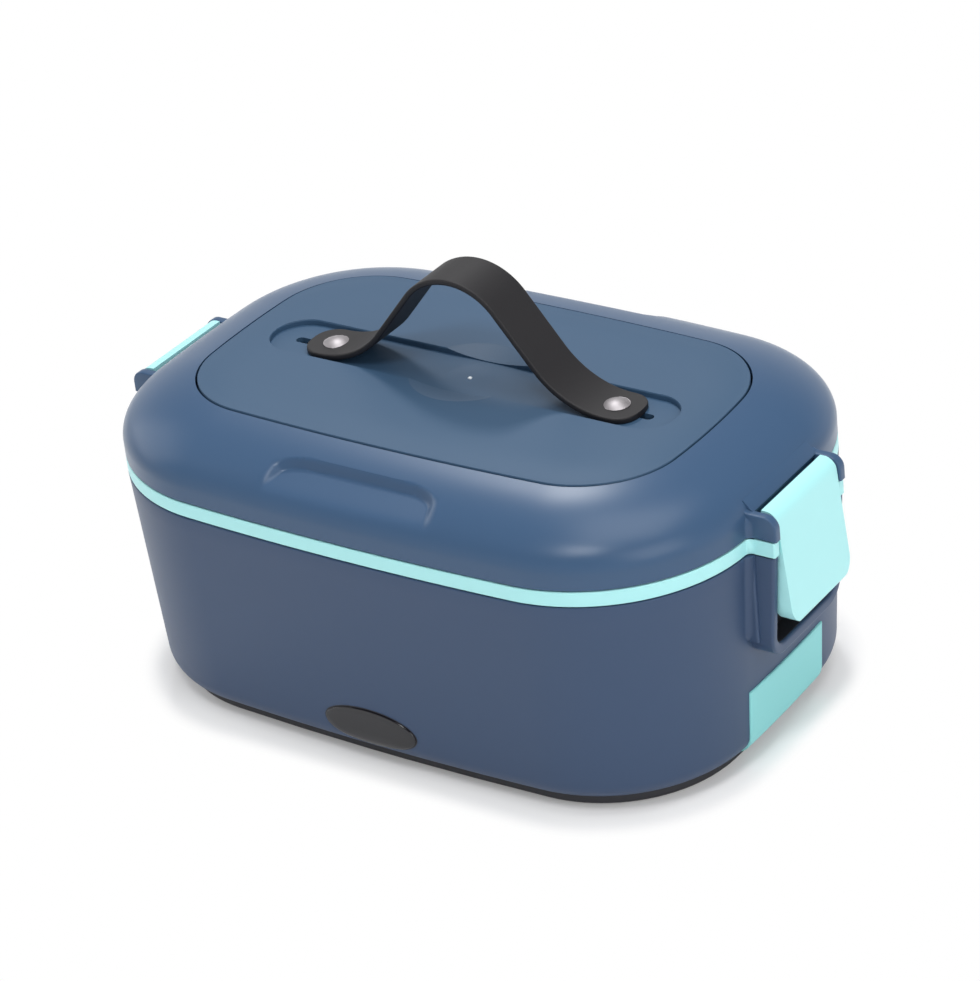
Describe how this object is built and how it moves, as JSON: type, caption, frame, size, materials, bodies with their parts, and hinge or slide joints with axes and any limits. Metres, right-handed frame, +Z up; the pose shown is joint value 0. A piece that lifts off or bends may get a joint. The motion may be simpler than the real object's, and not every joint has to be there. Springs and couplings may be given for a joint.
{
  "type": "electric lunch box",
  "caption": "Electric lunch box with a navy body, mint rim and end latches, lift-off domed lid, steel food bowl and a dark carry strap held by rivets.",
  "frame": {"origin": "centre of the footprint, on the plane the four rubber feet rest on", "axes": "+X towards the end with the inlet cover, -Y towards the front with the indicator lens, +Z up"},
  "size_m": [0.256, 0.158, 0.147],
  "materials": {
    "shell_plastic": "satin",
    "plate_plastic": "satin",
    "mint_plastic": "satin",
    "mint_silicone": "matte",
    "black_plastic": "matte",
    "rubber": "matte",
    "silicone": "matte",
    "clear_plastic": "satin",
    "screw_steel": "satin",
    "rivet_steel": "polished",
    "washer_brass": "satin",
    "bowl_steel": "satin",
    "plate_aluminium": "satin",
    "heater_ceramic": "matte",
    "thermostat_steel": "satin",
    "fuse_body": "matte",
    "lens_plastic": "polished",
    "board_green": "satin",
    "led_plastic": "polished",
    "wire_sleeve": "satin",
    "strap_leather": "matte"
  },
  "bodies": {
    "body": {"outer_shell": "shell_plastic", "bottom_cover": "black_plastic", "rubber_feet": "rubber", "base_screws": "screw_steel", "tub_liner": "mint_plastic", "heating_plate": "plate_aluminium", "plate_seal": "silicone", "plate_screws": "screw_steel", "ptc_heater": "heater_ceramic", "heater_bar": "plate_aluminium", "bar_screws": "screw_steel", "thermostat": "thermostat_steel", "thermal_fuse": "fuse_body", "mains_inlet": "black_plastic", "mains_pins": "screw_steel", "dc_inlet": "black_plastic", "dc_pin": "screw_steel", "inlet_screws": "screw_steel", "indicator_lens": "lens_plastic", "led_board": "board_green", "leds": "led_plastic", "led_screws": "screw_steel", "heater_wires": "wire_sleeve", "led_wires": "wire_sleeve"},
    "lid": {"lid_shell": "shell_plastic", "top_plate": "plate_plastic", "lid_inner_panel": "clear_plastic", "lid_seal": "silicone"},
    "strap": {"carry_strap": "strap_leather"},
    "rivet_l": {"rivet_left": "rivet_steel", "rivet_washer_left": "washer_brass"},
    "rivet_r": {"rivet_right": "rivet_steel", "rivet_washer_right": "washer_brass"},
    "latch_r": {"latch_right": "mint_plastic"},
    "latch_l": {"latch_left": "mint_plastic"},
    "inlet_flap": {"inlet_cover": "mint_silicone"},
    "bowl": {"food_bowl": "bowl_steel"},
    "tray": {"divider_tray": "clear_plastic"}
  },
  "joints": [
    {"name": "lid_lift", "type": "slide", "parent": "body", "child": "lid", "axis": [0, 0, 1], "range_m": [0, 0.2]},
    {"name": "bowl_lift", "type": "slide", "parent": "body", "child": "bowl", "axis": [0, 0, 1], "range_m": [0, 0.1]},
    {"name": "tray_lift", "type": "slide", "parent": "body", "child": "tray", "axis": [0, 0, 1], "range_m": [0, 0.14]},
    {"name": "latch_right_swing", "type": "hinge", "parent": "lid", "child": "latch_r", "pos_m": [0.121, 0, 0.091], "axis": [0, -1, 0], "range_deg": [0, 110]},
    {"name": "latch_left_swing", "type": "hinge", "parent": "lid", "child": "latch_l", "pos_m": [-0.121, 0, 0.091], "axis": [0, 1, 0], "range_deg": [0, 110]},
    {"name": "strap_press", "type": "slide", "parent": "lid", "child": "strap", "axis": [0, 0, -1], "range_m": [0, 0.034], "stiffness_N_per_m": 150, "deforming": ["carry_strap"]},
    {"name": "rivet_right_slide", "type": "slide", "parent": "strap", "child": "rivet_r", "axis": [0.3204, 0, 0.9473], "range_m": [0, 0.03589]},
    {"name": "rivet_left_slide", "type": "slide", "parent": "strap", "child": "rivet_l", "axis": [-0.3204, 0, 0.9473], "range_m": [0, 0.03589]},
    {"name": "inlet_cover_bend", "type": "hinge", "parent": "body", "child": "inlet_flap", "pos_m": [0.10859, 0, 0.00476], "axis": [0, 1, 0], "range_deg": [0, 80]}
  ],
  "couplings": [
    {"joint": "bowl_lift", "follows": "lid_lift", "ratio": 0.5},
    {"joint": "tray_lift", "follows": "lid_lift", "ratio": 0.7},
    {"joint": "rivet_right_slide", "follows": "strap_press", "ratio": 1.0557},
    {"joint": "rivet_left_slide", "follows": "strap_press", "ratio": 1.0557}
  ]
}
